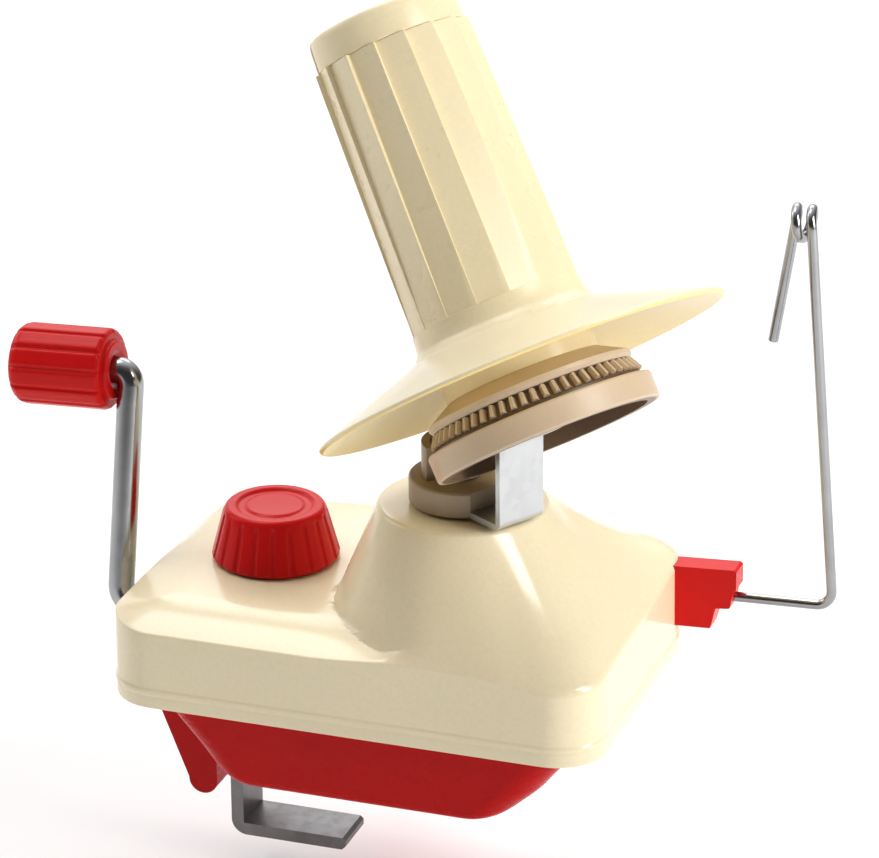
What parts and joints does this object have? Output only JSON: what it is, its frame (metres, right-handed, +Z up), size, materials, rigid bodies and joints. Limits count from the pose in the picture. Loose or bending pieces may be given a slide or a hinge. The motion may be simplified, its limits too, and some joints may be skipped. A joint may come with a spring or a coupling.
{
  "type": "yarn ball winder",
  "caption": "Hand-cranked yarn winder: a fluted cone on a tilted orbiting axle above a geared housing, with a table clamp and a wire yarn guide.",
  "frame": {"origin": "centre of the flat underside of the base, where it rests on the table top", "axes": "+Z up along the spindle; +X along the long front face towards the yarn guide, crank on -X; +Y away from the front face"},
  "size_m": [0.2001, 0.1054, 0.2221],
  "materials": {
    "cream_plastic": "moulded, glossy, ivory",
    "red_plastic": "moulded, glossy, red",
    "tan_plastic": "moulded nylon, satin, tan",
    "zinc_steel": "zinc plated sheet and bar",
    "plated_wire": "bright plated spring wire",
    "dark_steel": "plain steel fasteners",
    "white_nylon": "natural nylon bushes"
  },
  "bodies": {
    "base": {"upper_housing": "cream_plastic", "lower_base": "red_plastic", "housing_screws": "dark_steel", "crank_bush": "white_nylon", "shaft_pedestal": "white_nylon", "centre_post": "zinc_steel", "post_screw": "dark_steel", "sun_gear": "tan_plastic", "sun_set_screw": "dark_steel", "spindle_bush": "white_nylon", "knob_washer": "white_nylon", "guide_holder": "red_plastic"},
    "crank": {"crank_rod": "zinc_steel", "crank_gear": "tan_plastic", "crank_gear_pin": "dark_steel", "grip_retainer": "dark_steel"},
    "grip": {"crank_grip": "red_plastic"},
    "carrier": {"spindle_sleeve": "zinc_steel", "spindle_pinion": "tan_plastic", "spindle_collar": "dark_steel", "carrier_hub": "tan_plastic", "carrier_bracket": "zinc_steel", "bracket_rivets": "dark_steel", "cone_axle": "zinc_steel", "axle_washer": "white_nylon", "axle_clip": "dark_steel"},
    "cone": {"cone_gear": "tan_plastic", "gear_screws": "dark_steel", "flange_disc": "cream_plastic", "winding_cone": "cream_plastic", "cone_cap": "cream_plastic"},
    "knob": {"clamp_knob": "red_plastic", "clamp_screw": "zinc_steel", "screw_clip": "dark_steel"},
    "jaw": {"clamp_jaw": "zinc_steel", "jaw_nut": "dark_steel"},
    "guide": {"guide_wire": "plated_wire"}
  },
  "joints": [
    {"name": "crank_turn", "type": "hinge", "parent": "base", "child": "crank", "pos_m": [0, -0.006, 0.0286], "axis": [1, 0, 0], "continuous": true},
    {"name": "grip_spin", "type": "hinge", "parent": "crank", "child": "grip", "pos_m": [-0.08668, 0.00553, 0.08464], "axis": [0.9989, 0, 0.047], "continuous": true},
    {"name": "spindle_turn", "type": "hinge", "parent": "base", "child": "carrier", "pos_m": [0.019, -0.006, 0.06], "axis": [0, 0, 1], "continuous": true},
    {"name": "cone_spin", "type": "hinge", "parent": "carrier", "child": "cone", "pos_m": [0.019, -0.006, 0.13886], "axis": [-0.4872, 0.2928, 0.8227], "continuous": true},
    {"name": "knob_turn", "type": "hinge", "parent": "base", "child": "knob", "pos_m": [-0.0321, 0.003, 0.05], "axis": [0, 0, -1], "range_deg": [-900, 3240]},
    {"name": "jaw_slide", "type": "slide", "parent": "base", "child": "jaw", "axis": [0, 0, 1], "range_m": [-0.005, 0.018]},
    {"name": "guide_fold", "type": "hinge", "parent": "base", "child": "guide", "pos_m": [0.0766, 0.029, 0.0363], "axis": [0.9992, 0, 0.04], "range_deg": [-100, 100]}
  ],
  "couplings": [
    {"joint": "spindle_turn", "follows": "crank_turn", "ratio": 4},
    {"joint": "cone_spin", "follows": "crank_turn", "ratio": 0.93333},
    {"joint": "knob_turn", "follows": "jaw_slide", "rad_per_m": 3141.6}
  ]
}
